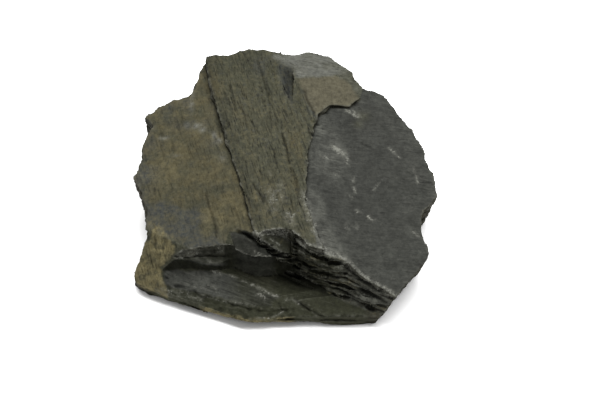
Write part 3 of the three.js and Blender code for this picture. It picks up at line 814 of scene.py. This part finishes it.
def fine_lines_group():
    """Short dark and light dashes that all run one way."""
    tree, n, given, made = new_group(
        "Fine Lines", {"Turn": 0.0, "Width": 0.6 * MM, "Length": 7 * MM}, ("Dark", "Light", "Height"))
    turn = n.new("ShaderNodeCombineXYZ", {"Z": given["Turn"]}).outputs[0]
    size = n.new("ShaderNodeCombineXYZ", {"X": given["Width"], "Y": given["Length"], "Z": given["Length"]})
    where = n.new("ShaderNodeMapping", {"Vector": given["Vector"], "Rotation": turn, "Scale": size.outputs[0]},
                  vector_type="TEXTURE").outputs[0]
    lines = n.cloud(where, 1.0, 3.0, 0.6, 0.35)
    n.give(made, Dark=n.span(lines, 0.46, 0.33), Light=n.span(lines, 0.56, 0.7), Height=lines)
    return tree


def thin_beds_group():
    """Dark lines in the gaps of thin beds, painted shade, and light lines on their edges, painted highlights,
    for the broken edges.
    """
    tree, n, given, made = new_group(
        "Thin Beds", {"Thickness": 0.5 * MM, "Reach": 5 * MM}, ("Dark", "Light", "Height"))
    height = n.new("ShaderNodeVectorMath", {0: given["Vector"], 1: (-BED_RISE_X, -BED_RISE_Y, 1.0)},
                   operation="DOT_PRODUCT").outputs["Value"]
    across = n.new("ShaderNodeCombineXYZ", {"Z": n.math("DIVIDE", height, given["Thickness"])}).outputs[0]
    where = n.new("ShaderNodeVectorMath", {0: n.divided(given["Vector"], given["Reach"]), 1: across},
                  operation="ADD").outputs[0]
    beds = n.cloud(where, 1.0, 3.0, 0.6, 0.4)
    n.give(made, Dark=n.span(beds, 0.48, 0.36), Light=n.span(beds, 0.55, 0.68), Height=beds)
    return tree


def grain_group():
    """The fine even grain of the stone, with dark and light specks."""
    tree, n, given, made = new_group("Grain", {"Size": 0.4 * MM}, ("Tone", "Specks", "Pits", "Height"))
    where = n.divided(given["Vector"], given["Size"])
    fine = n.cloud(where, 1.0, 2.0, 0.6)
    coarse = n.cloud(where, 0.28, 3.0, 0.6)
    n.give(made, Tone=n.math("ADD", n.times(fine, 0.6), n.times(coarse, 0.4)),
           Specks=n.span(n.cloud(where, 0.75, 1.0), 0.7, 0.78),
           Pits=n.span(n.cloud(where, 0.55, 2.0), 0.36, 0.27),
           Height=n.math("ADD", n.times(fine, 0.5), n.times(coarse, 0.8)))
    return tree


def bruise_group():
    """Crushed, pale rock: scratchy, and thicker where the amount is high."""
    tree, n, given, made = new_group("Bruise", {"Amount": 0.0, "Size": 0.6 * MM}, ("Mask",))
    where = n.divided(given["Vector"], given["Size"])
    scratches = n.times(n.cloud(where, 1.0, 2.0, 0.7, 0.5), 0.55)
    crushed = n.math("ADD", scratches, n.times(n.cloud(where, 0.4, 3.0, 0.6), 0.45))
    n.give(made, Mask=n.span(n.math("ADD", crushed, n.times(given["Amount"], 0.3)), 0.66, 0.8))
    return tree


def shale_material(colours):
    """One material for the whole stone: each mask lays its own finish over the plain weathered rock, and some
    masks paint highlights and shade on it.
    """
    material = bpy.data.materials.new("broken_shale")
    material.use_nodes = True
    material.node_tree.nodes.clear()
    n = Nodes(material.node_tree)
    lines, beds, grain, bruise = fine_lines_group(), thin_beds_group(), grain_group(), bruise_group()
    place = n.new("ShaderNodeTexCoord").outputs["Object"]

    def dashes(turn, width, length):
        return n.filled(lines, Vector=place, Turn=turn, Width=width * MM, Length=length * MM)

    def lay(tone, *layers):
        """Lays colours over a tone, one after the other, each as strongly as its amounts say together."""
        for colour, *amounts in layers:
            tone = n.mix(tone, rgba(colour), n.times(*amounts))
        return tone

    def by_band(low, high):
        """A strength that is low outside the pale bands and high on them."""
        return n.span(n.mask("band"), 0.0, 0.6, low, high)

    black, pale = (0.0, 0.0, 0.0), colours.streak
    rib_turn = math.atan2(RIB_ASIDE, RIB_ALONG)
    thin = dashes(rib_turn, 0.42, 2.8)
    broad = dashes(rib_turn + 0.04, 1.15, 11)
    ripple = dashes(math.pi / 2, 0.5, 3.6)
    strokes = dashes(1.28, 0.6, 6)
    bedding = n.filled(beds, Vector=place, Thickness=0.65 * MM, Reach=9 * MM)
    grains = n.filled(grain, Vector=place, Size=0.42 * MM)
    crushed = n.filled(bruise, Vector=place, Amount=n.mask("pale"), Size=0.5 * MM)["Mask"]
    streak, shell, edges, combed = (n.mask(name) for name in ("streak", "shell", "edges", "combed"))
    speckle = n.cloud(place, 700.0, 4.0, 0.7)
    blotch = n.cloud(place, 190.0, 4.0, 0.6)

    tone = lay(
        rgba(colours.weathered),
        (colours.film, n.mask("film"), n.span(blotch, 0.32, 0.6, 0.35, 1.0)),
        (colours.slate, n.mask("slate"), n.span(speckle, 0.35, 0.6, 1.0, 0.55)),
        (colours.film, streak, n.span(speckle, 0.5, 0.66), 0.5),
        (colours.fresh, streak, n.span(n.cloud(place, 820.0, 3.0, 0.6), 0.45, 0.34), 0.6),
        # The dark olive here is partly painted shade.
        *((getattr(colours, name), n.mask(name)) for name in ("side", "fresh", "dark_olive_and_shade", "block")),
        (colours.light, n.mask("light"), n.span(blotch, 0.3, 0.6, 0.5, 1.0)),
        (colours.crust, n.mask("crust"), n.span(n.cloud(place, 420.0, 3.0), 0.36, 0.56, 0.35, 1.0)),
        (colours.band, n.mask("band"), n.span(blotch, 0.35, 0.6, 0.3, 0.9)))
    tone = n.shaded(tone, n.span(speckle, 0.3, 0.7, 0.8, 1.2))
    tone = n.shaded(tone, n.span(blotch, 0.3, 0.7, 0.91, 1.09))
    dark = n.math("ADD", n.times(thin["Dark"], 0.55), n.times(broad["Dark"], 0.46))
    tone = lay(
        tone, (black, dark, streak), (pale, thin["Light"], streak, 0.1),
        (black, ripple["Dark"], shell, by_band(0.2, 0.36)),
        (pale, ripple["Light"], shell, by_band(0.09, 0.22)),
        (pale, ripple["Light"], n.mask("light"), 0.5),
        (black, strokes["Dark"], combed, 0.45), (pale, strokes["Light"], combed, 0.22),
        # Painted shade in the gaps between the thin beds, and painted tan highlights on their edges.
        (black, bedding["Dark"], edges, 0.75), (colours.crust, bedding["Light"], edges, 0.45))
    tone = n.shaded(tone, n.span(grains["Tone"], 0.3, 0.7, 0.84, 1.14))
    # Dark pits and light specks of the grain; painted shade in the grooves and painted highlights on the
    # ridges.
    tone = lay(
        tone, (black, grains["Pits"], 0.4), (pale, grains["Specks"], 0.24), (black, n.mask("groove"), 0.65),
        (pale, n.mask("ridge"), n.span(speckle, 0.4, 0.6, 0.1, 0.55)))
    # Painted shade: the colour is darkened where the painted shade mask lies.
    tone = n.shaded(tone, n.math("SUBTRACT", 1.0, n.times(n.mask("painted_shade"), 0.6)))
    tone = lay(tone, (pale, n.mask("pale"), n.span(speckle, 0.3, 0.65), 0.55), (colours.bruise, crushed, 0.6))

    height = n.math("ADD", n.times(thin["Height"], 0.9), broad["Height"])
    height = n.math("ADD", n.times(grains["Height"], 0.6), n.times(height, streak))
    for pattern, mask, share in ((ripple, shell, 0.4), (strokes, combed, 0.7), (bedding, edges, 2.0)):
        height = n.math("ADD", height, n.times(pattern["Height"], mask, share))
    bump = n.new("ShaderNodeBump", {"Height": height, "Strength": 0.6, "Distance": 0.14 * MM}).outputs[0]
    surface = n.new("ShaderNodeBsdfPrincipled", {
        "Base Color": tone, "Roughness": n.span(grains["Tone"], 0.3, 0.7, 0.62, 0.85), "Normal": bump,
        "Specular IOR Level": 0.03})
    n.new("ShaderNodeOutputMaterial", {"Surface": surface.outputs[0]})
    return material


# ---- Settings ----

def setting(name, description, default, **more):
    return bpy.props.FloatProperty(name=name, description=description, default=default, **more)


def length_setting(name, description, default, low, high):
    """A length, given in millimetres."""
    return setting(name, description, default * MM, min=low * MM, max=high * MM, subtype="DISTANCE",
                   unit="LENGTH", precision=5)


class SlabShape(bpy.types.PropertyGroup):
    grain_size: length_setting("Grain size", "Width of the finest shape the mesh holds", 0.36, 0.2, 2)
    most_triangles: bpy.props.IntProperty(
        name="Most triangles", description="The mesh is thinned to this many triangles", default=194000,
        min=20000, max=199000)
    bed_relief: length_setting("Bed relief", "How far the beds stand out of a broken edge", 0.6, 0, 2)
    rib_relief: length_setting("Rib relief", "Height of the fine lines on the bedding faces", 0.13, 0, 1)
    shell_ripple: length_setting("Shell ripple", "Height of the ripples of the shell break", 0.07, 0, 1)
    edge_wear: length_setting("Edge wear", "How much the sharp edges have crumbled", 0.9, 0, 3)


def colour_setting(name, description, colour):
    return bpy.props.FloatVectorProperty(name=name, description=description, size=3, subtype="COLOR",
                                         default=colour, min=0, max=1)


class SlabColours(bpy.types.PropertyGroup):
    weathered: colour_setting("Weathered", "The plain olive grey of an old bedding face",
                              (0.0315, 0.0318, 0.0212))
    film: colour_setting("Brown film", "The thin brown film on the bench and the rib", (0.0435, 0.0385, 0.0213))
    slate: colour_setting("Slate", "Blue grey rock where the film has gone", (0.0318, 0.034, 0.0322))
    fresh: colour_setting("Fresh break", "The neutral grey of a fresh break", (0.0218, 0.0225, 0.0197))
    # Partly the rock's own dark olive and partly painted shade.
    dark_olive_and_shade: colour_setting("Bedded edge", "The dark olive of the scarp and the hollow", (0.0165, 0.0172, 0.0105))
    side: colour_setting("Side", "The outer broken edge", (0.026, 0.025, 0.018))
    block: colour_setting("Block", "The pale tan block behind the shell break", (0.05, 0.046, 0.031))
    light: colour_setting("Light facet", "The light grey facet at the back", (0.098, 0.099, 0.087))
    crust: colour_setting("Tan crust", "The old tan crust of the corner and the rim", (0.11, 0.095, 0.05))
    band: colour_setting("Pale band", "The slightly lighter bands of the shell break", (0.043, 0.044, 0.038))
    streak: colour_setting("Streak", "Light streaks and specks", (0.1, 0.1, 0.085))
    bruise: colour_setting("Bruise", "Crushed rock", (0.15, 0.15, 0.13))


class StageSettings(bpy.types.PropertyGroup):
    floor_size: setting("Floor size", "Width of the floor", 3.0, min=0.5, subtype="DISTANCE", unit="LENGTH")
    floor_colour: colour_setting("Floor colour", "Colour of the floor", (0.9, 0.9, 0.9))
    camera_height: setting("Camera angle", "How steeply the camera looks down", math.radians(48),
                           subtype="ANGLE", unit="ROTATION")
    camera_distance: setting("Camera distance", "Distance from the camera to its aim", 0.48,
                             subtype="DISTANCE", unit="LENGTH")
    key_power: setting("Key power", "Power of the large light above the back", 17.0, unit="POWER")
    room_light: setting("Room light", "Strength of the even light from all round", 0.56)


# ---- Stage ----

def make_stage(settings):
    scene = bpy.context.scene
    shape = bmesh.new()
    bmesh.ops.create_grid(shape, x_segments=1, y_segments=1, size=settings.floor_size / 2)
    mesh = bpy.data.meshes.new("floor")
    shape.to_mesh(mesh)
    shape.free()
    floor = placed("floor", mesh)
    paper = bpy.data.materials.new("white_floor")
    paper.use_nodes = True
    surface = paper.node_tree.nodes["Principled BSDF"]
    surface.inputs["Base Color"].default_value = rgba(settings.floor_colour)
    surface.inputs["Roughness"].default_value = 1.0
    surface.inputs["Specular IOR Level"].default_value = 0.0
    mesh.materials.append(paper)

    aim = Vector((AIM[0] - MIDDLE[0], AIM[1] - MIDDLE[1], AIM[2])) * MM
    back = Vector((0.0, -math.cos(settings.camera_height), math.sin(settings.camera_height)))
    camera = placed("camera", bpy.data.cameras.new("camera"))
    camera.location = aim + back * settings.camera_distance
    camera.rotation_euler = (math.pi / 2 - settings.camera_height, 0.0, 0.0)
    camera.data.lens = 85.0
    camera.data.clip_start = 0.01
    scene.camera = camera

    add_light("key", KEY_PLACE, KEY_SIZE, settings.key_power)
    scene.world = bpy.data.worlds.new("room")
    scene.world.use_nodes = True
    sky = scene.world.node_tree.nodes["Background"]
    sky.inputs["Color"].default_value = (1.0, 1.0, 1.0, 1.0)
    sky.inputs["Strength"].default_value = settings.room_light
    scene.view_settings.view_transform = "Standard"
    scene.view_settings.look = "None"


def add_light(name, place, size, power):
    """Hangs a large lamp that shines at the slab."""
    lamp = bpy.data.lights.new(name, "AREA")
    lamp.shape = "RECTANGLE"
    lamp.size, lamp.size_y = size
    lamp.energy = power
    light = placed(name, lamp)
    light.location = place
    light.rotation_euler = (-Vector(place)).to_track_quat("-Z", "Y").to_euler()


# ---- Operators ----

class OILSHALE_OT_slab(bpy.types.Operator):
    """Build the slab of oil shale over its solid"""
    bl_idname = "oilshale.slab"
    bl_label = "Slab"

    def execute(self, context):
        slab = make_slab(context.scene.oil_shale_shape, context.scene.oil_shale_colours)
        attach(slab, "root")
        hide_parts(SLAB_NODE)
        return {"FINISHED"}


class OILSHALE_OT_stage(bpy.types.Operator):
    """Lay the floor, hang the lights and set the camera"""
    bl_idname = "oilshale.stage"
    bl_label = "Stage"

    def execute(self, context):
        make_stage(context.scene.oil_shale_stage)
        return {"FINISHED"}


class VIEW3D_PT_oil_shale(bpy.types.Panel):
    """The specimen's steps and settings"""
    bl_label = "Oil Shale"
    bl_idname = "VIEW3D_PT_oil_shale"
    bl_space_type = "VIEW_3D"
    bl_region_type = "UI"
    bl_category = "Oil Shale"

    def draw(self, context):
        for title, step, owner in (("Slab", OILSHALE_OT_slab, "oil_shale_shape"),
                                   ("Colours", None, "oil_shale_colours"),
                                   ("Stage", OILSHALE_OT_stage, "oil_shale_stage")):
            box = self.layout.box()
            box.label(text=title)
            settings = getattr(context.scene, owner)
            for name in settings.__annotations__:
                box.prop(settings, name)
            if step:
                box.operator(step.bl_idname)


CLASSES = (SlabShape, SlabColours, StageSettings, OILSHALE_OT_slab, OILSHALE_OT_stage, VIEW3D_PT_oil_shale)
GROUPS = {"oil_shale_shape": SlabShape, "oil_shale_colours": SlabColours, "oil_shale_stage": StageSettings}


def register():
    for cls in CLASSES:
        bpy.utils.register_class(cls)
    for name, cls in GROUPS.items():
        setattr(bpy.types.Scene, name, bpy.props.PointerProperty(type=cls))


def unregister():
    for name in GROUPS:
        delattr(bpy.types.Scene, name)
    for cls in reversed(CLASSES):
        bpy.utils.unregister_class(cls)


def main():
    register()
    bpy.ops.oilshale.stage()
    bpy.ops.oilshale.slab()


if __name__ == "__main__":
    main()
